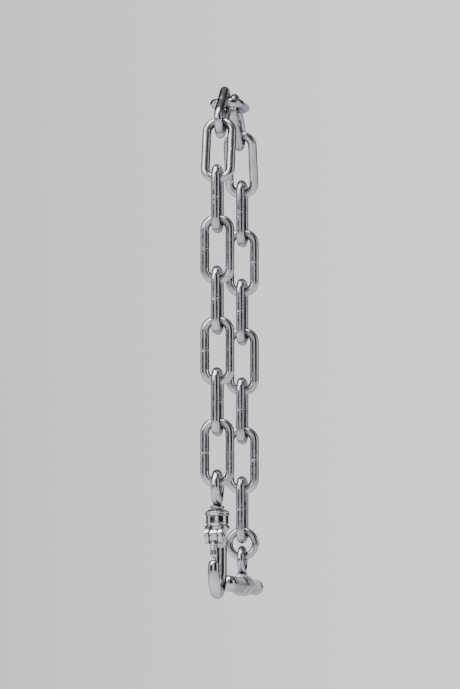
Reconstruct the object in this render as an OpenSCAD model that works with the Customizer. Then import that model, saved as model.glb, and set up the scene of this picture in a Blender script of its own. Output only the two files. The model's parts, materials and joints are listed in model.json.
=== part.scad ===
// Pocket watch chain in the single Albert pattern: a swivel clasp for the watch,
// a run of plain oval links and a T-bar for the buttonhole.
// It hangs doubled over a round arm, with the clasp in front and the T-bar behind.
// Millimetres, +Z up. The origin is on the arm's axis, which is the X axis.
// Front is -Y. A flat link faces front and back; an upright link stands edge-on.

/* [Links] */
// Diameter of the link wire
wire_d = 1.2; // [0.8:0.1:1.6]
// Outer width of a link
link_w = 4.6; // [3.6:0.1:6.0]
// Distance that each link adds to a straight run
pitch = 6.8; // [5.0:0.1:9.0]
// Running gap between two linked wires
play = 0.06; // [0.03:0.01:0.15]
// Bend radius of a link's corners, on the wire's centre line
link_corner_r = 1.4; // [1.0:0.1:1.6]

/* [Drape] */
// Radius of the arm that the chain hangs over
arm_r = 8.4; // [6:0.1:12]
// Height of the top link's wire above the arm's axis
top_link_z = 10.3; // [8:0.1:14]
// Slope of the first link on each side, below the horizontal
first_slope = 35; // [20:1:45]
// Hanging links in the front run, below the two that bend over the arm
front_hanging = 6; // [2:2:12]
// Hanging links in the rear run, below the two that bend over the arm
rear_hanging = 7; // [3:2:13]

/* [T-bar] */
// Length of the bar over its domed ends
bar_len = 26; // [20:1:34]
// Diameter of the bar
bar_d = 2.2; // [1.6:0.1:3.0]
// Diameter of the collar at the middle of the bar
bar_collar_d = 3.0; // [2.4:0.1:4.0]
// Diameter of the wire in the T-bar's eye and jump ring
small_wire_d = 1.0; // [0.8:0.1:1.2]

/* [Clasp] */
// Outer width of the hook
hook_w = 7.6; // [6:0.1:10]
// Thickness of the hook's round section
hook_d = 1.6; // [1.2:0.1:2.2]
// Straight length of the hook between its top and bottom bends
hook_straight = 3.0; // [1:0.1:4]
// Diameter of the swivel barrel
barrel_d = 3.0; // [2.6:0.1:4.0]
// Diameter of the gate's hinge pin
pin_d = 0.6; // [0.5:0.05:0.8]

/* [Hidden] */
$fn = 64;
eps = 0.01;
silver = [0.52, 0.53, 0.55];
polished = [0.60, 0.61, 0.63];
spring_steel = [0.38, 0.39, 0.42];

// Links
wire_r = wire_d / 2;
reach = wire_d + play;
link_len = pitch + reach;
side_x = link_w / 2 - wire_r;

// Path of the chain in the YZ plane, for the rear side; the front mirrors it.
// A slope is the angle of a link below the horizontal.
function along(slope) = [0, cos(slope), -sin(slope)];
hang_y = arm_r + link_w / 2 + play;
first_pivot = [0, link_len / 2, top_link_z];
first_end = first_pivot + pitch * along(first_slope);
second_start = first_end - reach * along(first_slope);
second_slope = acos((hang_y - second_start[1]) / link_len);
second_end = second_start + link_len * along(second_slope);
function hang_end(n) = second_end - [0, 0, n * pitch];

// T-bar, measured down from the last rear link's end wire
small_r = small_wire_d / 2;
t_ring_r = 1.8;
t_ring_top = wire_r + small_r + play;
t_eye_r = 1.5;
t_eye_top = t_ring_top - 2 * t_ring_r + small_wire_d + play;
t_stem_r = 0.5;
t_stem_len = 0.85;
t_bar_z = t_eye_top - 2 * t_eye_r - t_stem_len - bar_d / 2;
t_foot_z = t_bar_z + 0.2;
solder_gap = 0.02;
t_collar_w = 2.6;
t_bead_y = 2.2;
t_bead_w = 0.5;
t_bead_d = bar_d + 0.4;

// Clasp, measured down from the last front link's end wire
bow_r = 1.8;
bow_low = reach - 2 * bow_r;
shank_r = 0.55;
running = 0.05;
neck_len = 1.2;
neck_r = 0.95;
neck_h = 0.5;
cap_top = bow_low - neck_len;
cap_h = 0.8;
cap_low = cap_top - cap_h;
cap_step = 0.25;
cap_edge = 0.1;
head_r = 0.9;
head_h = 0.6;
head_drop = 0.3;
head_low = cap_low - head_drop - head_h;
cavity_r = 1.1;
cavity_h = 1.3;
barrel_h = 2.1;
barrel_low = cap_low - barrel_h;
band_d = barrel_d + 0.3;
band_h = 0.35;
hook_r = hook_d / 2;
bend_r = hook_w / 2 - hook_r;
bend_top = barrel_low + hook_r - bend_r;
bend_low = bend_top - hook_straight;
gate_angle = 30;
gate_y = bend_r * cos(gate_angle);
gate_z = bend_top + bend_r * sin(gate_angle);
cheek_r = 1.1;
cheek_w = 2.4;
slot_w = 1.2;
slot_r = cheek_r + 0.15;
rivet_r = 0.5;
rivet_h = 0.18;
knuckle_w = 1.0;
knuckle_r = 0.95;
recess_r = 0.68;
recess_floor = 0.05;
nose_len = 0.6;
gate_r = 0.5;
gate_rest = 0.12;
gate_tip = [0, bend_r - 0.05, bend_low + nose_len + hook_r + gate_r + gate_rest];
thumb_r = 0.55;
thumb_drop = 1.55;
spring_r = 0.5;
spring_wire = 0.12;
spring_turns = 3;
spring_bond = 0.002;
spring_start = recess_floor + 0.09;

front_links = [for (i = [1 : front_hanging + 2]) str("front_link_", i)];
rear_links = [for (i = [1 : rear_hanging + 2]) str("rear_link_", i)];

// Part of a round-section ring in the XZ plane, turned from +X towards +Z
module part_ring(ring_r, section_r, turn) {
  rotate([90, 0, 0])
    rotate_extrude(angle = turn)
      translate([ring_r, 0])
        circle(section_r);
}

// A whole round-section ring standing in the XZ plane
module ring(ring_r, section_r) {
  rotate([90, 0, 0])
    rotate_extrude()
      translate([ring_r, 0])
        circle(section_r);
}

// An oval link facing front, with its first end wire at the origin and its other one below
module oval_link() {
  corner_x = side_x - link_corner_r;
  for (end = [0, 1])
    translate([0, 0, -end * link_len])
      mirror([0, 0, end]) {
        translate([-corner_x, 0, 0])
          rotate([0, 90, 0])
            cylinder(r = wire_r, h = 2 * corner_x);
        for (side = [0, 1])
          mirror([side, 0, 0])
            translate([corner_x, 0, -link_corner_r])
              part_ring(link_corner_r, wire_r, 90);
      }
  for (side = [-1, 1])
    translate([side * side_x, 0, link_corner_r - link_len])
      cylinder(r = wire_r, h = link_len - 2 * link_corner_r);
}

// Places a link on the rear run, by its number counted from the top link
module on_rear(i) {
  upright = i % 2 == 1;
  slope = i == 1 ? first_slope : i == 2 ? second_slope : 90;
  start = i == 1 ? first_pivot - reach * along(first_slope)
    : i == 2 ? second_start
    : hang_end(i - 3) + [0, 0, reach];
  translate(start)
    rotate([90 - slope, 0, 0])
      rotate([0, 0, upright ? 90 : 0])
        oval_link();
}

module top_link() {
  color(silver)
    translate([0, link_len / 2, top_link_z])
      rotate([-90, 0, 0])
        oval_link();
}

module rear_link(i) {
  color(silver)
    on_rear(i);
}

module front_link(i) {
  color(silver)
    mirror([0, 1, 0])
      on_rear(i);
}

// Frame of the T-bar, at the last rear link's end wire
module at_rear_end() {
  translate(hang_end(rear_hanging))
    children();
}

module t_bar_jump_ring() {
  color(silver)
    at_rear_end()
      translate([0, 0, t_ring_top - t_ring_r])
        ring(t_ring_r, small_r);
}

// Eye with a stem whose end is set into the bar's collar
module t_bar_eye() {
  color(silver)
    at_rear_end() {
      translate([0, 0, t_eye_top - t_eye_r])
        rotate([0, 0, 90])
          ring(t_eye_r, small_r);
      translate([0, 0, t_foot_z])
        cylinder(r = t_stem_r, h = t_eye_top - 2 * t_eye_r - t_foot_z);
    }
}

// Bar with domed ends and a drilled collar
module t_bar() {
  half = bar_len / 2 - bar_d / 2;
  color(polished)
    at_rear_end()
      difference() {
        translate([0, 0, t_bar_z])
          union() {
            rotate([90, 0, 0])
              cylinder(d = bar_d, h = 2 * half, center = true);
            rotate([90, 0, 0])
              cylinder(d = bar_collar_d, h = t_collar_w, center = true);
            for (side = [-1, 1]) {
              translate([0, side * half, 0])
                sphere(d = bar_d);
              translate([0, side * t_bead_y, 0])
                rotate([90, 0, 0])
                  cylinder(d = t_bead_d, h = t_bead_w, center = true);
            }
          }
        translate([0, 0, t_foot_z])
          cylinder(r = t_stem_r + solder_gap, h = bar_collar_d);
      }
}

// Frame of the clasp, at the last front link's end wire; its hook lies in the YZ plane
module at_front_end() {
  mirror([0, 1, 0])
    translate(hang_end(front_hanging))
      children();
}

// Round loop, neck and shank, with the riveted head that the cap holds in
module clasp_bow() {
  color(silver)
    at_front_end() {
      translate([0, 0, reach - bow_r])
        rotate([0, 0, 90])
          ring(bow_r, wire_r);
      translate([0, 0, cap_top + play])
        cylinder(r = neck_r, h = neck_h);
      translate([0, 0, head_low]) {
        cylinder(r = head_r, h = head_h);
        cylinder(r = shank_r, h = bow_low - head_low);
      }
    }
}

// Drilled cap on the barrel, which the shank turns in
module clasp_cap() {
  color(silver)
    at_front_end()
      difference() {
        translate([0, 0, cap_low])
          union() {
            cylinder(d = band_d, h = cap_h - cap_step);
            cylinder(d = barrel_d - 2 * cap_edge, h = cap_h);
          }
        translate([0, 0, cap_low - eps])
          cylinder(r = shank_r + running, h = cap_h + 2 * eps);
      }
}

// Hollow barrel that grows into the hook, ending in a nose and, at the top, a fork for the gate
module clasp_hook() {
  color(polished)
    at_front_end()
      difference() {
        union() {
          translate([0, 0, barrel_low])
            cylinder(d = barrel_d, h = barrel_h);
          translate([0, 0, barrel_low + band_h])
            cylinder(d = band_d, h = band_h);
          translate([0, 0, bend_top])
            rotate([0, 0, 90])
              mirror([1, 0, 0])
                part_ring(bend_r, hook_r, 180 - gate_angle);
          translate([0, -bend_r, bend_low])
            cylinder(r = hook_r, h = hook_straight);
          translate([0, 0, bend_low])
            rotate([0, 180, 90])
              part_ring(bend_r, hook_r, 180);
          translate([0, bend_r, bend_low]) {
            cylinder(r = hook_r, h = nose_len);
            translate([0, 0, nose_len])
              sphere(r = hook_r);
          }
          translate([0, gate_y, gate_z])
            rotate([0, 90, 0])
              cylinder(r = cheek_r, h = cheek_w, center = true);
        }
        translate([0, 0, cap_low - cavity_h])
          cylinder(r = cavity_r, h = cavity_h + eps);
        translate([0, gate_y, gate_z])
          rotate([0, 90, 0])
            cylinder(r = slot_r, h = slot_w, center = true);
        translate([0, gate_y, gate_z])
          rotate([0, 90, 0])
            cylinder(d = pin_d, h = cheek_w + 2 * eps, center = true);
      }
}

// Gate that shuts on the nose: a drilled knuckle, a bar and a thumb bead
module clasp_gate() {
  reach_down = gate_tip - [0, gate_y, gate_z];
  tilt = atan(reach_down[1] / -reach_down[2]);
  color(polished)
    at_front_end()
      translate([0, gate_y, gate_z])
        difference() {
          union() {
            rotate([0, 90, 0])
              cylinder(r = knuckle_r, h = knuckle_w, center = true);
            rotate([tilt, 0, 0]) {
              translate([0, 0, -norm(reach_down)])
                cylinder(r = gate_r, h = norm(reach_down));
              translate([0, 0, -norm(reach_down)])
                sphere(r = gate_r);
              translate([0, thumb_r, -thumb_drop])
                sphere(r = thumb_r);
            }
          }
          rotate([0, 90, 0])
            cylinder(r = pin_d / 2 + running, h = knuckle_w + 2 * eps, center = true);
          translate([recess_floor, 0, 0])
            rotate([0, 90, 0])
              cylinder(r = recess_r, h = knuckle_w);
        }
}

// Pin through the fork and the gate's knuckle
module clasp_gate_pin() {
  color(silver)
    at_front_end()
      translate([0, gate_y, gate_z])
        rotate([0, 90, 0]) {
          cylinder(d = pin_d, h = cheek_w, center = true);
          for (side = [0, 1])
            mirror([0, 0, side])
              translate([0, 0, cheek_w / 2])
                cylinder(r = rivet_r, h = rivet_h);
        }
}

// Torsion spring around the pin, in the knuckle's recess
module clasp_gate_spring() {
  color(spring_steel)
    at_front_end()
      translate([0, gate_y, gate_z])
        for (turn = [0 : spring_turns - 1])
          translate([spring_start + turn * spring_wire, 0, 0])
            rotate([0, 0, 90])
              ring(spring_r, spring_wire / 2 + spring_bond);
}

top_link();
for (i = [1 : front_hanging + 2])
  front_link(i);
for (i = [1 : rear_hanging + 2])
  rear_link(i);
t_bar_jump_ring();
t_bar_eye();
t_bar();
clasp_bow();
clasp_cap();
clasp_hook();
clasp_gate();
clasp_gate_pin();
clasp_gate_spring();
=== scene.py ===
"""Looks of a pocket watch chain: oval links, a swivel clasp and a T-bar, hung double over an absent arm."""
import json
import math
import random

import bpy
import numpy as np
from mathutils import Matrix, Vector


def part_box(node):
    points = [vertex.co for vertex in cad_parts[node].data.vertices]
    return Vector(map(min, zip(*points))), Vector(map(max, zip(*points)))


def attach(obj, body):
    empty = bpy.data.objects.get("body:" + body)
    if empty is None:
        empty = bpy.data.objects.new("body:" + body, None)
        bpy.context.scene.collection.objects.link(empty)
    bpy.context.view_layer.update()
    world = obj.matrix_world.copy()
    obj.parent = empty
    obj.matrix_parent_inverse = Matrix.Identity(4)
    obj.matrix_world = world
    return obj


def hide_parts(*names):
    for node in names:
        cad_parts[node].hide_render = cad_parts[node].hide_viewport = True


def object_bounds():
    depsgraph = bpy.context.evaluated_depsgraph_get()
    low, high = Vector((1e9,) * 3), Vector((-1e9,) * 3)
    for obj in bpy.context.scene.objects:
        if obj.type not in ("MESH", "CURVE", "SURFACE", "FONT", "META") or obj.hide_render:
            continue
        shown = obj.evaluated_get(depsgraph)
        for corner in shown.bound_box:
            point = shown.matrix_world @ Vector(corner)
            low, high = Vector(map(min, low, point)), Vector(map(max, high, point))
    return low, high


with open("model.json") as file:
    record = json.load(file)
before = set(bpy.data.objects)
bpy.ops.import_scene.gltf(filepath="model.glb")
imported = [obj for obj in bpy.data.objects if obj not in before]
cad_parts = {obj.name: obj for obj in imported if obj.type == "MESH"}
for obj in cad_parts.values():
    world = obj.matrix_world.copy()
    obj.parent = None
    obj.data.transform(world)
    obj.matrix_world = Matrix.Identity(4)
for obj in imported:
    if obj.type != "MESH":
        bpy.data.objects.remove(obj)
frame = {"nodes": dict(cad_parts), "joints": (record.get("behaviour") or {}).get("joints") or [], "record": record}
cad_low, cad_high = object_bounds()

MM = 0.001
X, Y, Z = Vector((1, 0, 0)), Vector((0, 1, 0)), Vector((0, 0, 1))
FRONT = -Y
JOINTS = {joint["name"]: joint for joint in frame["joints"]}
LINKS = [name for name in frame["nodes"] if "link" in name]

# Colours of clean metal, of the metal seen at a grazing angle, and of tarnish, which also paints shade where wires
# meet
STEEL = (0.52, 0.53, 0.55, 1)
BRIGHT = (0.60, 0.61, 0.63, 1)
SPRING_GREY = (0.38, 0.39, 0.42, 1)
EDGE = (0.50, 0.51, 0.54, 1)
LINK_TARNISH_AND_SHADE = (0.17, 0.16, 0.15, 1)
BRIGHT_TARNISH_AND_SHADE = (0.22, 0.21, 0.20, 1)
SPRING_TARNISH_AND_SHADE = (0.15, 0.14, 0.14, 1)

# Sizes that the frame doesn't state, in millimetres

# Links: the bend, how far the mesh stays inside the CAD wire, the soldered seam and the worn ends
LINK_CORNER_R = 1.4
LINK_INSET = 0.002
SEAM_DEPTH = 0.03
SEAM_SPREAD = [0.9, 0.6, 0.38, 0.22, 0.12, 0.05]
WORN_DEPTH = 0.035
WORN_WIDTH = 0.9
WORN_LENGTH = 0.5

# Jump ring, T-bar and eye
SMALL_WIRE_R = 0.5
RING_R = 1.8
EYE_R = 1.5
BAR_R = 1.1
BAR_BEAD_R = BAR_R + 0.2
BAR_GROOVE = 0.07
COLLAR_GROOVE = 0.1
STEM_R = 0.5

# Clasp: the bow with its shank and head, the cap, the barrel, the hook, the gate and its pin and spring
BOW_R = 1.8
BOW_WIRE_R = 0.6
NECK_R = 0.95
SHANK_R = 0.55
HEAD_R = 0.9
HEAD_H = 0.6
CAP_BORE_R = 0.62
CAP_R = 1.65
BARREL_R = 1.5
CAVITY_R = 1.1
CAVITY_H = 1.3
HOOK_R = 0.8
CHEEK_R = 1.1
CHEEK_IN, CHEEK_OUT = 0.6, 1.2
PIN_R = 0.3
RIVET_R = 0.62
KNUCKLE_R = 0.95
KNUCKLE_BORE_R = 0.35
KNUCKLE_HALF = 0.5
RECESS_R = 0.68
GATE_R = 0.5
SPRING_COIL_R = 0.5
SPRING_WIRE_R = 0.045

# Counts: the spring's coils, and the points round a ring
SPRING_TURNS = 3
RING_STEPS = 72


# ---------------------------------------------------------------- mesh makers

def add_piece(name, parts, material, body, nodes):
    """One smooth mesh object from (points, faces) parts, riding on a body and standing for CAD nodes."""
    crease = math.radians(50)
    points, faces = [], []
    for part_points, part_faces in parts:
        first = len(points)
        points.extend(part_points)
        faces.extend([[first + i for i in face] for face in part_faces])
    mesh = bpy.data.meshes.new(name)
    mesh.from_pydata([tuple(p) for p in points], [], faces)
    mesh.validate()
    mesh.shade_smooth()
    mesh.set_sharp_from_angle(angle=crease)
    mesh.materials.append(material)
    piece = bpy.data.objects.new(name, mesh)
    bpy.context.scene.collection.objects.link(piece)
    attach(piece, body)
    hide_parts(*nodes)


def turn_angles(count):
    """Angles in radians, evenly spaced round a full turn."""
    return [2 * math.pi * k / count for k in range(count)]


def ease(t):
    """A smooth step from 0 to 1."""
    return t * t * (3 - 2 * t)


def skin(rings, closed=False):
    """Points and faces of a surface over rings that all have the same count. An open one gets flat ends."""
    count = len(rings[0])
    points = [p for ring in rings for p in ring]
    faces = []
    for i in range(len(rings) if closed else len(rings) - 1):
        a, b = i * count, (i + 1) % len(rings) * count
        for k in range(count):
            n = (k + 1) % count
            faces.append([a + k, a + n, b + n, b + k])
    if not closed:
        faces.append(list(reversed(range(count))))
        faces.append(list(range(len(points) - count, len(points))))
    return points, faces


def swept(path, radius, origin, u, v, closed=False, around=28):
    """A round tube along a path of (u, v) millimetres.

    radius is a number, or a function of a point's place in the path and of the angle round it.
    The angle is 0 on the path's left.
    """
    normal = u.cross(v)
    flat = [origin + (p[0] * u + p[1] * v) * MM for p in path]
    rings = []
    for i, centre in enumerate(flat):
        before = flat[i - 1] if closed or i else flat[i]
        after = flat[(i + 1) % len(flat)] if closed or i < len(flat) - 1 else flat[i]
        left = normal.cross((after - before).normalized())
        ring = []
        for angle in turn_angles(around):
            r = radius(i, angle) if callable(radius) else radius
            ring.append(centre + (math.cos(angle) * left + math.sin(angle) * normal) * r * MM)
        rings.append(ring)
    return skin(rings, closed)


def lathed(profile, origin, axis, closed=False, around=48):
    """A turned solid from a profile of (height, radius) millimetres. A closed profile makes a drilled one."""
    least_r = 0.002
    side = axis.orthogonal().normalized()
    other = axis.cross(side)
    rings = []
    for height, r in profile:
        centre = origin + axis * height * MM
        rings.append([
            centre + (math.cos(t) * side + math.sin(t) * other) * max(r, least_r) * MM
            for t in turn_angles(around)])
    return skin(rings, closed)


def arc(centre, r, start, end, steps):
    """Points on an arc, from start to end degrees, both included."""
    angles = [math.radians(start + (end - start) * i / steps) for i in range(steps + 1)]
    return [(centre[0] + r * math.cos(a), centre[1] + r * math.sin(a)) for a in angles]


def rounded(points, bevel, closed=False, steps=4):
    """The same outline with each corner replaced by a small curve."""
    most_of_side = 0.45
    out = []
    last = len(points) - 1
    for i, p in enumerate(points):
        if not closed and i in (0, last):
            out.append(p)
            continue
        p = Vector(p)
        back, ahead = Vector(points[i - 1]) - p, Vector(points[(i + 1) % len(points)]) - p
        cut = min(bevel, most_of_side * back.length, most_of_side * ahead.length)
        start, end = p + back.normalized() * cut, p + ahead.normalized() * cut
        for s in range(steps + 1):
            t = s / steps
            out.append(tuple((1 - t) ** 2 * start + 2 * t * (1 - t) * p + t ** 2 * end))
    return out


def groove(r, depth, start, floor_start, floor_end, end):
    """Profile points of a groove turned into a cylinder of radius r."""
    return [(start, r), (floor_start, r - depth), (floor_end, r - depth), (end, r)]


def with_dome(path, radii, r, steps=7):
    """The path and its radii with a half-sphere of radius r added past the last point."""
    least_r = 0.004
    p, q = Vector(path[-1]), Vector(path[-2])
    ahead = (p - q).normalized()
    angles = [math.pi / 2 * i / steps for i in range(1, steps + 1)]
    dome = [tuple(p + ahead * r * math.sin(a)) for a in angles]
    return path + dome, radii + [max(r * math.cos(a), least_r) for a in angles]


# ---------------------------------------------------------------- materials

def new_node(tree, kind, **values):
    """A new shader node with its properties and inputs set."""
    node = tree.nodes.new(kind)
    for key, value in values.items():
        if hasattr(node, key):
            setattr(node, key, value)
        else:
            node.inputs[key.replace("_", " ")].default_value = value
    return node


def mapped(tree, value, start, end, low, high, **properties):
    """A value whose range from start to end is stretched to run from low to high, and held beyond it."""
    node = new_node(tree, "ShaderNodeMapRange", **properties)
    tree.links.new(value, node.inputs["Value"])
    for key, number in (("From Min", start), ("From Max", end), ("To Min", low), ("To Max", high)):
        node.inputs[key].default_value = number
    return node.outputs["Result"]


def maths(tree, operation, *values):
    """The result of a Math node. Each value is a number or another node's output."""
    node = new_node(tree, "ShaderNodeMath", operation=operation)
    for value, socket in zip(values, node.inputs):
        if isinstance(value, (int, float)):
            socket.default_value = value
        else:
            tree.links.new(value, socket)
    return node.outputs["Value"]


def noise(tree, place, scale, detail, distortion=0.0):
    """Noise with scale cells to the metre."""
    node = new_node(tree, "ShaderNodeTexNoise", Scale=scale, Detail=detail, Distortion=distortion)
    tree.links.new(place, node.inputs["Vector"])
    return node.outputs["Fac"]


def tarnish_and_painted_shade(tree, place):
    """Tarnish and painted shade from 0 to 1: faint tarnish blotches all over, and painted shade where wires meet,
    from an ambient occlusion node.
    """
    reach = 0.7 * MM
    blotch_share, painted_shade_share = 0.40, 0.9
    # An ambient occlusion node darkens the colour where wires meet: painted shade, meant also as tarnish in the
    # hollows
    occlusion_node = new_node(tree, "ShaderNodeAmbientOcclusion", Distance=reach)
    painted_shade = mapped(tree, occlusion_node.outputs["AO"], 0.35, 0.95, 1.0, 0.0)
    blotch = mapped(tree, noise(tree, place, 420, 3), 0.45, 0.70, 0.0, 1.0)
    blotch = maths(tree, "MULTIPLY", blotch, blotch_share)
    return maths(tree, "MAXIMUM", blotch, maths(tree, "MULTIPLY", painted_shade, painted_shade_share))


def hair_scratches(tree, place):
    """Hair scratches from 0 to 1: the thin lines where a stretched noise crosses its middle, in patches."""
    half_width = 0.010
    middle_of_noise = maths(tree, "SUBTRACT", noise(tree, place, 1500, 1, 3.5), 0.5)
    lines = mapped(tree, maths(tree, "ABSOLUTE", middle_of_noise), 0.0, half_width, 1.0, 0.0)
    patches = mapped(tree, noise(tree, place, 500, 2), 0.45, 0.6, 0.0, 1.0)
    return maths(tree, "MULTIPLY", lines, patches)


def tool_lines(tree, place, direction):
    """The fine rings that a lathe tool leaves, spaced along one axis."""
    depth = 0.35
    wave = new_node(tree, "ShaderNodeTexWave", bands_direction=direction, Scale=2600.0, Distortion=1.2)
    wave.inputs["Detail"].default_value = 2.0
    tree.links.new(place, wave.inputs["Vector"])
    return maths(tree, "MULTIPLY", wave.outputs["Fac"], depth)


def metal(name, base, tarnish_and_shade_colour, rough, scratch, pits, lines=None):
    """Handled metal: tarnish blotches, painted shade where wires meet, uneven polish, hair scratches, pits and, if
    asked, tool lines.
    """
    tarnish_and_shade_roughness, hair_roughness = 0.16, 0.12
    bump_strength, bump_depth = 0.16, 0.008 * MM
    material = bpy.data.materials.new(name)
    material.use_nodes = True
    tree = material.node_tree
    shader = tree.nodes["Principled BSDF"]
    shader.inputs["Metallic"].default_value = 1.0
    shader.inputs["Specular Tint"].default_value = EDGE
    place = new_node(tree, "ShaderNodeTexCoord").outputs["Object"]

    # The base colour is darkened by tarnish blotches and by painted shade where wires meet
    tarnish_and_shade = tarnish_and_painted_shade(tree, place)
    mix = new_node(tree, "ShaderNodeMix", data_type="RGBA")
    tree.links.new(tarnish_and_shade, mix.inputs["Factor"])
    clean, tarnish_and_shade_socket = (socket for socket in mix.inputs if socket.type == "RGBA")
    clean.default_value, tarnish_and_shade_socket.default_value = base, tarnish_and_shade_colour
    mixed = next(socket for socket in mix.outputs if socket.type == "RGBA")
    tree.links.new(mixed, shader.inputs["Base Color"])

    hair = hair_scratches(tree, place)
    wear = mapped(tree, noise(tree, place, 1100, 3), 0.3, 0.7, *rough)
    wear = maths(tree, "ADD", wear, maths(tree, "MULTIPLY", tarnish_and_shade, tarnish_and_shade_roughness))
    wear = maths(tree, "ADD", wear, maths(tree, "MULTIPLY", hair, hair_roughness))
    tree.links.new(wear, shader.inputs["Roughness"])

    height = maths(tree, "MULTIPLY", noise(tree, place, 7000, 3), pits)
    height = maths(tree, "SUBTRACT", height, maths(tree, "MULTIPLY", hair, scratch))
    if lines:
        height = maths(tree, "ADD", height, tool_lines(tree, place, lines))
    bump = new_node(tree, "ShaderNodeBump", Strength=bump_strength, Distance=bump_depth)
    tree.links.new(height, bump.inputs["Height"])
    tree.links.new(bump.outputs["Normal"], shader.inputs["Normal"])
    return material


link_metal = metal("link_metal", STEEL, LINK_TARNISH_AND_SHADE, rough=(0.12, 0.22), scratch=0.35, pits=0.03)
polished = metal("polished_metal", BRIGHT, BRIGHT_TARNISH_AND_SHADE, rough=(0.07, 0.16), scratch=0.3, pits=0.02)
turned = metal("turned_metal", BRIGHT, BRIGHT_TARNISH_AND_SHADE, rough=(0.07, 0.16), scratch=0.3, pits=0.02, lines="Y")
spring_steel = metal("spring_steel", SPRING_GREY, SPRING_TARNISH_AND_SHADE, rough=(0.25, 0.40), scratch=0.3, pits=0.6)


# ---------------------------------------------------------------- links

def principal_axes(node):
    """Middle of a CAD node, its long, wide and thin directions, and its size along each in millimetres."""
    mesh = frame["nodes"][node].data
    points = np.array([v.co for v in mesh.vertices])
    mesh.calc_loop_triangles()
    corners = points[np.array([t.vertices for t in mesh.loop_triangles])]
    middles = corners.mean(axis=1)
    areas = np.linalg.norm(np.cross(corners[:, 1] - corners[:, 0], corners[:, 2] - corners[:, 0]), axis=1)
    centre = (middles * areas[:, None]).sum(axis=0) / areas.sum()
    spread = ((middles - centre) * areas[:, None]).T @ (middles - centre)
    vectors = np.linalg.eigh(spread)[1]
    axes = [Vector(vectors[:, i]) for i in (2, 1, 0)]
    # An axis and its opposite serve alike, so each is turned to its largest part's positive side
    axes = [axis if max(axis, key=abs) > 0 else -axis for axis in axes]
    reach = [(points - centre) @ np.array(axis) for axis in axes]
    offset = sum((a * float(r.max() + r.min()) / 2 for a, r in zip(axes, reach)), Vector())
    return Vector(centre) + offset, axes, [float(r.max() - r.min()) / MM for r in reach]


def link_path(half_width, half_length, corner):
    """Centre line of an oval link in (across, along) millimetres, with close points at both side middles."""
    arc_steps = 9
    near_seam = [*SEAM_SPREAD, 0, *(-h for h in reversed(SEAM_SPREAD))]
    straight = half_length - corner
    inner = half_width - corner
    path = [(half_width, h) for h in (-straight, *reversed(near_seam))]
    path += arc((inner, straight), corner, 0, 90, arc_steps)
    path += arc((-inner, straight), corner, 90, 180, arc_steps)[:-1]
    path += [(-half_width, h) for h in (straight, *near_seam)]
    path += arc((-inner, -straight), corner, 180, 270, arc_steps)
    path += arc((inner, -straight), corner, 270, 360, arc_steps)[:-1]
    return path


def make_link(node):
    """An oval link of drawn wire: a soldered joint on one long side, and ends worn hollow on the inside."""
    middle, (long, wide, _), (length, width, wire) = principal_axes(node)
    wire_r = wire / 2 - LINK_INSET
    seam_side = dice.choice((-1, 1))
    half_length = length / 2 - wire_r
    path = link_path(width / 2 - wire_r, half_length, LINK_CORNER_R)
    seam_width = dice.uniform(0.16, 0.24)

    def worn(across, along, angle):
        """Depth worn off the inside of an end by the next link's wire."""
        if abs(along) <= half_length - WORN_LENGTH:
            return 0.0
        return WORN_DEPTH * max(0.0, 1 - abs(across) / WORN_WIDTH) * max(0.0, math.cos(angle))

    def seam(across, along):
        """Depth of the solder joint: a fine line, and a wider, shallower dip on each side of it."""
        if across * seam_side <= 0 or abs(along) >= half_length - LINK_CORNER_R:
            return 0.0
        off = abs(along / seam_width)
        line = math.exp(-(off * 4) ** 2)
        dip = math.exp(-(off - 1.6) ** 2 * 3)
        dip_share = 0.7
        return SEAM_DEPTH * (line + dip_share * dip)

    def radius(i, angle):
        across, along = path[i]
        return wire_r - worn(across, along, angle) - seam(across, along)

    body = next(name for name, nodes in frame["record"]["behaviour"]["bodies"].items() if node in nodes)
    part = swept(path, radius, middle, wide, long, closed=True)
    add_piece("detailed_" + node, [part], link_metal, body, [node])


dice = random.Random(7)
for node in LINKS:
    make_link(node)


# ---------------------------------------------------------------- T-bar

def joint_at(name):
    return Vector(JOINTS[name]["pos_m"])


def box_middle(node):
    low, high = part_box(node)
    return (Vector(low) + Vector(high)) / 2


def make_jump_ring():
    """A bent ring whose ends butt together, with a hairline between them."""
    cut_at, cut = 22, 1.2
    path = arc((0, 0), RING_R, cut_at, cut_at + 360 - cut, RING_STEPS)
    part = swept(path, SMALL_WIRE_R, box_middle("t_bar_jump_ring"), X, Z)
    add_piece("jump_ring", [part], link_metal, "t_bar_jump_ring", ["t_bar_jump_ring"])


def make_t_bar():
    """A turned bar: a grooved collar, a waist and a bead on each side, and domed ends with two grooves."""
    low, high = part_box("t_bar")
    centre = Vector((0, (low[1] + high[1]) / 2, (low[2] + high[2]) / 2))
    collar_r = (high[2] - low[2]) / 2 / MM
    half = (high[1] - low[1]) / 2 / MM
    collar_half, bead_start, bead_end = 1.3, 1.95, 2.45
    end_grooves = (10.2, 10.9)
    # One half of the profile, from the middle of the collar to the dome
    outline = [(0, collar_r - COLLAR_GROOVE), (0.12, collar_r - COLLAR_GROOVE), (0.2, collar_r)]
    outline += groove(collar_r, COLLAR_GROOVE, 0.55, 0.6, 0.72, 0.78)
    outline += [(collar_half, collar_r), (collar_half, BAR_R + 0.05)]
    outline += [(collar_half + 0.25, BAR_R - 0.08), (bead_start - 0.1, BAR_R - 0.02)]
    outline += [(bead_start, BAR_BEAD_R), (bead_end, BAR_BEAD_R), (bead_end + 0.05, BAR_R)]
    for start in end_grooves:
        outline += groove(BAR_R, BAR_GROOVE, start, start + 0.1, start + 0.3, start + 0.4)
    outline = rounded(outline, 0.09) + arc((half - BAR_R, 0), BAR_R, 90, 0, 12)
    profile = [(-h, r) for h, r in reversed(outline)] + outline[1:]
    add_piece("turned_t_bar", [lathed(profile, centre, Y)], turned, "t_bar", ["t_bar"])


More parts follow.
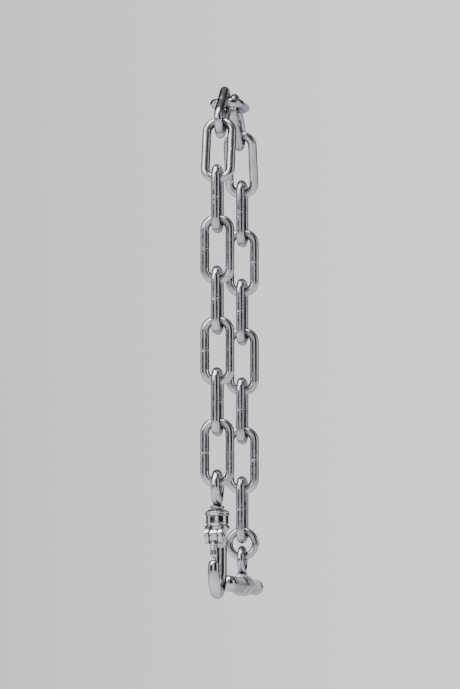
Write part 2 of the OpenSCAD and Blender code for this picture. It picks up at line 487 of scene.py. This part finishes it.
def make_t_bar_eye():
    """A ring on a stem that goes into the collar, with solder at the stem's foot and at its top."""
    low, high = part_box("t_bar_eye")
    centre = Vector((0, (low[1] + high[1]) / 2, high[2] - (EYE_R + SMALL_WIRE_R) * MM))
    collar_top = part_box("t_bar")[1][2]
    ring = swept(arc((0, 0), EYE_R, 0, 360, RING_STEPS)[:-1], SMALL_WIRE_R, centre, Y, Z, closed=True)
    foot = (collar_top - centre.z) / MM
    neck = -EYE_R - SMALL_WIRE_R
    stem_low = (low[2] - centre.z) / MM
    stem = [(stem_low, 0), (stem_low, STEM_R), (foot - 0.02, STEM_R)]
    stem += [(foot - 0.02, 0.78), (foot + 0.12, 0.72), (foot + 0.22, STEM_R)]
    stem += [(neck - 0.05, STEM_R), (neck + 0.2, 0.62), (neck + 0.5, STEM_R), (neck + 0.5, 0)]
    parts = [ring, lathed(rounded(stem, 0.08), centre, Z, around=32)]
    add_piece("soldered_t_bar_eye", parts, link_metal, "t_bar", ["t_bar_eye"])


make_jump_ring()
make_t_bar()
make_t_bar_eye()


# ---------------------------------------------------------------- clasp

end_pivot = joint_at("clasp_bow_swing")
gate_pivot = joint_at("clasp_gate_hinge")


def below_end(z):
    """Height in millimetres measured from the last link's end wire."""
    return (z - end_pivot.z) / MM


def make_bow():
    """The loop, its turned neck, the shank that turns in the cap and the head that the cap holds."""
    low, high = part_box("clasp_bow")
    centre_z = below_end(high[2]) - BOW_R - BOW_WIRE_R
    bottom = centre_z - BOW_R
    neck_low = below_end(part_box("clasp_cap")[1][2]) + 0.06
    head_low = below_end(low[2])
    head_top = head_low + HEAD_H
    path = arc((0, centre_z), BOW_R, 0, 360, RING_STEPS)[:-1]
    swell, swell_height = 0.10, 0.9

    def radius(i, angle):
        """The wire swells where it meets the neck."""
        return BOW_WIRE_R + swell * max(0.0, (bottom + swell_height - path[i][1]) / swell_height)

    ring = swept(path, radius, end_pivot, Y, Z, closed=True)
    stem = [(head_low, 0), (head_low, HEAD_R - 0.05), (head_low + 0.12, HEAD_R), (head_top, HEAD_R)]
    stem += [(head_top, SHANK_R), (neck_low, SHANK_R)]
    stem += [(neck_low, NECK_R - 0.05), (neck_low + 0.14, NECK_R), (neck_low + 0.39, NECK_R)]
    stem += [(neck_low + 0.52, 0.62), (bottom - 0.45, 0.5), (bottom - 0.2, 0.3), (bottom - 0.2, 0)]
    parts = [ring, lathed(rounded(stem, 0.07), end_pivot, Z, around=40)]
    add_piece("swivel_bow", parts, link_metal, "clasp_bow", ["clasp_bow"])


def make_cap():
    """The drilled cap, with a groove round its wall and a sloping top."""
    low, high = (below_end(p[2]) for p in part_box("clasp_cap"))
    outline = [(low, CAP_BORE_R), (low, CAP_R)]
    outline += groove(CAP_R, 0.07, low + 0.2, low + 0.25, low + 0.33, low + 0.38)
    outline += [(low + 0.5, CAP_R), (low + 0.62, 1.4), (high, 1.15), (high, CAP_BORE_R)]
    part = lathed(rounded(outline, 0.07, closed=True), end_pivot, Z, closed=True)
    add_piece("swivel_cap", [part], polished, "clasp_hook", ["clasp_cap"])


def hook_sizes():
    """The bends' radius, the heights of the top and bottom bends' centres, and the gate's angle."""
    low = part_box("clasp_hook")[0]
    bend_r = (end_pivot.y - low[1]) / MM - HOOK_R
    gate_angle = math.acos((end_pivot.y - gate_pivot.y) / MM / bend_r)
    top = below_end(gate_pivot.z) - bend_r * math.sin(gate_angle)
    return bend_r, top, below_end(low[2]) + bend_r + HOOK_R, math.degrees(gate_angle)


def hook_wire(bend_r, top, bottom, gate_angle):
    """The hook from the fork over the top, down the back and round to the nose."""
    path, heights = [], []
    steps = 50
    hidden_in_fork = 26
    start = gate_angle + hidden_in_fork
    squashed_within, squash_fade, squash_depth = 34, 12, 0.42
    # Under the barrel the hook's section is squashed, which leaves the head's cavity free
    for step in range(steps):
        degrees = start + (180 - start) * step / (steps - 1)
        squash = min(1.0, max(0.0, (squashed_within - abs(degrees - 90)) / squash_fade))
        heights.append(HOOK_R - squash_depth * ease(squash))
        a = math.radians(degrees)
        r = bend_r - HOOK_R + heights[-1]
        path.append((r * math.cos(a), top + r * math.sin(a)))
    back_steps, nose_h = 6, 0.6
    path += [(-bend_r, top + (bottom - top) * i / back_steps) for i in range(1, back_steps + 1)]
    path += arc((0, bottom), bend_r, 180, 360, 36)[1:]
    path += [(bend_r, bottom + nose_h / 2), (bend_r, bottom + nose_h)]
    heights += [HOOK_R] * (len(path) - len(heights))
    # The nose tapers a little over its last points
    taper_points, taper = 8, 0.005
    for i in range(1, taper_points + 1):
        heights[-i] = HOOK_R - taper * (taper_points + 1 - i)
    path, heights = with_dome(path, heights, heights[-1])
    widths = [HOOK_R] * steps + heights[steps:]

    def radius(i, angle):
        return 1 / math.hypot(math.cos(angle) / heights[i], math.sin(angle) / widths[i])

    return swept(path, radius, end_pivot, FRONT, Z)


def hook_barrel(low):
    """The hollow barrel: the cavity for the head, the wall, and a band round the foot."""
    rim = below_end(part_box("clasp_cap")[0][2])
    band_r = 1.65
    barrel = [(rim - CAVITY_H, 0), (rim - CAVITY_H, CAVITY_R), (rim, CAVITY_R)]
    barrel += [(rim, BARREL_R), (low + 0.95, BARREL_R), (low + 0.9, 1.42), (low + 0.8, 1.42)]
    barrel += [(low + 0.72, band_r), (low + 0.35, band_r)]
    barrel += [(low + 0.3, 1.48), (low + 0.12, 1.44), (low + 0.01, 1.2), (low + 0.01, 0)]
    return lathed(rounded(barrel, 0.07), end_pivot, Z)


def fork_cheek(side):
    """A drilled disc beside the gate's knuckle, recessed for the rivet."""
    rivet_floor = CHEEK_OUT - 0.06
    cheek = [(CHEEK_IN, PIN_R), (CHEEK_IN, CHEEK_R), (CHEEK_OUT, CHEEK_R)]
    cheek += [(CHEEK_OUT, RIVET_R), (rivet_floor, RIVET_R - 0.07), (rivet_floor, PIN_R)]
    return lathed(rounded(cheek, 0.1, closed=True), gate_pivot, X * side, closed=True)


def fork_ear(bend_r, top, gate_angle, side):
    """A flat bar that follows the bend down to one cheek and steps outwards, clear of the knuckle."""
    steps = 12
    first_angle, turn = gate_angle + 35, 27
    first_across, step_out, step_over = 0.5, 0.4, 0.4
    first_height, growth, half_thick = 0.55, 0.37, 0.3
    rings = []
    for step in range(steps + 1):
        t = step / steps
        a = math.radians(first_angle - turn * t)
        across = first_across + step_out * ease(min(1.0, t / step_over))
        half_height = first_height + growth * t
        out = FRONT * math.cos(a) + Z * math.sin(a)
        centre = end_pivot + Z * top * MM + out * bend_r * MM + X * side * across * MM
        ring = []
        for angle in turn_angles(24):
            c, n = math.cos(angle), math.sin(angle)
            thick = half_thick * math.copysign(abs(c) ** 0.5, c)
            tall = half_height * math.copysign(abs(n) ** 0.7, n)
            ring.append(centre + (X * side * thick + out * tall) * MM)
        rings.append(ring)
    return skin(rings)


def make_hook():
    """One casting: the hook's wire, the barrel, and a fork of two ears and cheeks for the gate's pin."""
    bend_r, top, bottom, gate_angle = hook_sizes()
    parts = [hook_wire(bend_r, top, bottom, gate_angle), hook_barrel(top + bend_r - HOOK_R)]
    for side in (-1, 1):
        parts.append(fork_cheek(side))
        parts.append(fork_ear(bend_r, top, gate_angle, side))
    add_piece("cast_hook", parts, polished, "clasp_hook", ["clasp_hook"])


def make_gate():
    """A drilled knuckle with a recess for the spring, a bowed lever, and a ridged bead for the thumb."""
    bend_r = hook_sizes()[0]
    tip_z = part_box("clasp_gate")[0][2] + GATE_R * MM
    tip = Vector((0, end_pivot.y - (bend_r - 0.05) * MM, tip_z)) - gate_pivot
    down = tip.normalized()
    out = X.cross(down)
    if out.dot(FRONT) < 0:
        out = -out
    recess_floor = 0.05
    knuckle = [(-KNUCKLE_HALF, KNUCKLE_BORE_R), (-KNUCKLE_HALF, KNUCKLE_R), (KNUCKLE_HALF, KNUCKLE_R)]
    knuckle += [(KNUCKLE_HALF, RECESS_R), (recess_floor, RECESS_R), (recess_floor, KNUCKLE_BORE_R)]
    parts = [lathed(rounded(knuckle, 0.07, closed=True), gate_pivot, X, closed=True)]

    first, last, bow, steps = 0.62, tip.length / MM, 0.07, 12
    path = []
    for i in range(steps + 1):
        path.append((first + (last - first) * i / steps, bow * math.sin(math.pi * i / steps)))
    path, radii = with_dome(path, [GATE_R] * len(path), GATE_R)
    parts.append(swept(path, lambda i, angle: radii[i], gate_pivot, down, out))

    bead_half, ridge_gap, ridge_r, valley_r, end_r = 0.5, 0.3, 0.44, 0.34, 0.2
    bead_down, bead_out = 1.55, 0.6
    bead = [(-bead_half, 0), (-bead_half + 0.03, end_r)]
    for ridge in (-ridge_gap, 0, ridge_gap):
        bead += [(ridge - ridge_gap / 2, valley_r), (ridge, ridge_r), (ridge + ridge_gap / 2, valley_r)]
    bead += [(bead_half - 0.03, end_r), (bead_half, 0)]
    bead_at = gate_pivot + (down * bead_down + out * bead_out) * MM
    parts.append(lathed(rounded(bead, 0.06), bead_at, down, around=32))
    add_piece("sprung_gate", parts, polished, "clasp_gate", ["clasp_gate"])


def make_gate_pin():
    """A plain pin with both ends riveted over into low domes."""
    rivet_start = 1.15
    outline = [(-1.4, 0), (-1.38, 0.18), (-1.32, 0.36), (-1.2, 0.5)]
    outline += [(-rivet_start, 0.5), (-rivet_start, PIN_R)]
    profile = outline + [(-h, r) for h, r in reversed(outline)]
    part = lathed(profile, gate_pivot, X, around=32)
    add_piece("riveted_pin", [part], link_metal, "clasp_hook", ["clasp_gate_pin"])


def make_gate_spring():
    """Three coils around the pin, in the knuckle's recess."""
    steps = 120
    first, run = 0.15, 0.30
    rings = []
    for step in range(steps + 1):
        t = step / steps
        turn = 2 * math.pi * SPRING_TURNS * t
        radial = Y * math.cos(turn) + Z * math.sin(turn)
        centre = gate_pivot + (X * (first + run * t) + radial * SPRING_COIL_R) * MM
        rings.append([
            centre + (radial * math.cos(a) + X * math.sin(a)) * SPRING_WIRE_R * MM for a in turn_angles(12)])
    add_piece("gate_spring", [skin(rings)], spring_steel, "clasp_hook", ["clasp_gate_spring"])


make_bow()
make_cap()
make_hook()
make_gate()
make_gate_pin()
make_gate_spring()


# ---------------------------------------------------------------- floor, light and camera

def plain(name, colour, roughness):
    material = bpy.data.materials.new(name)
    material.use_nodes = True
    shader = material.node_tree.nodes["Principled BSDF"]
    shader.inputs["Base Color"].default_value = colour
    shader.inputs["Roughness"].default_value = roughness
    return material


def add_floor(z, radius):
    rim = [(radius * math.cos(a), radius * math.sin(a), z) for a in turn_angles(96)]
    mesh = bpy.data.meshes.new("floor")
    mesh.from_pydata(rim, [], [list(range(len(rim)))])
    mesh.materials.append(plain("pale_floor", colour=(0.80, 0.80, 0.81, 1), roughness=0.7))
    floor = bpy.data.objects.new("floor", mesh)
    bpy.context.scene.collection.objects.link(floor)


def add_light(name, place, size, power, colour):
    """A rectangular light aimed at the middle of the chain."""
    data = bpy.data.lights.new(name, "AREA")
    data.shape = "RECTANGLE"
    data.size, data.size_y = size
    data.energy = power
    data.color = colour
    light = bpy.data.objects.new(name, data)
    light.location = place
    aim = middle - Vector(place)
    light.rotation_euler = aim.to_track_quat("-Z", "Y").to_euler()
    bpy.context.scene.collection.objects.link(light)


def add_overhead(energy, angle, tilt):
    """An even, very soft light from above, tipped by tilt degrees about X and Y."""
    data = bpy.data.lights.new("overhead", "SUN")
    data.energy = energy
    data.angle = math.radians(angle)
    light = bpy.data.objects.new("overhead", data)
    light.rotation_euler = (math.radians(tilt[0]), math.radians(tilt[1]), 0)
    bpy.context.scene.collection.objects.link(light)


def add_studio_world(pale, dark, ceiling):
    """Grey studio: pale walls on four sides, dark flags between them and a dim ceiling."""
    world = bpy.data.worlds.new("studio")
    world.use_nodes = True
    tree = world.node_tree
    way = new_node(tree, "ShaderNodeSeparateXYZ")
    tree.links.new(new_node(tree, "ShaderNodeTexCoord").outputs["Generated"], way.inputs["Vector"])
    # X times Y is nothing towards a wall and largest halfway between two of them
    between_walls = maths(tree, "ABSOLUTE", maths(tree, "MULTIPLY", way.outputs["X"], way.outputs["Y"]))
    walls = mapped(tree, between_walls, 0.10, 0.38, pale, dark, interpolation_type="SMOOTHSTEP")
    upward = mapped(tree, way.outputs["Z"], 0.25, 0.70, 1.0, ceiling, interpolation_type="SMOOTHSTEP")
    background = tree.nodes["Background"]
    tree.links.new(maths(tree, "MULTIPLY", walls, upward), background.inputs["Strength"])
    background.inputs["Color"].default_value = (0.95, 0.97, 1.0, 1)
    bpy.context.scene.world = world


def add_camera(azimuth, elevation, distance, lens):
    """A camera that looks along +Y at azimuth 0 and from the object's right side as azimuth turns it."""
    a, e = math.radians(azimuth), math.radians(elevation)
    back = Vector((math.sin(a) * math.cos(e), -math.cos(a) * math.cos(e), math.sin(e)))
    data = bpy.data.cameras.new("camera")
    data.sensor_fit = "VERTICAL"
    data.sensor_height = 36
    data.lens = lens
    camera = bpy.data.objects.new("camera", data)
    camera.location = middle + back * distance
    camera.rotation_euler = (-back).to_track_quat("-Z", "Y").to_euler()
    bpy.context.scene.collection.objects.link(camera)
    bpy.context.scene.camera = camera


# Places and distances here are in metres. The middle lies under the arm, halfway down the chain
middle = (Vector(cad_low) + Vector(cad_high)) / 2
middle.y = 0
add_floor(z=cad_low[2] - 0.12, radius=3.0)
add_overhead(energy=3.0, angle=50, tilt=(12, -10))
add_light("key", place=(-0.32, -0.30, 0.30), size=(0.40, 0.50), power=2.4, colour=(0.96, 0.97, 1.0))
add_studio_world(pale=1.25, dark=0.02, ceiling=0.18)
add_camera(azimuth=9, elevation=-4, distance=0.7, lens=270)
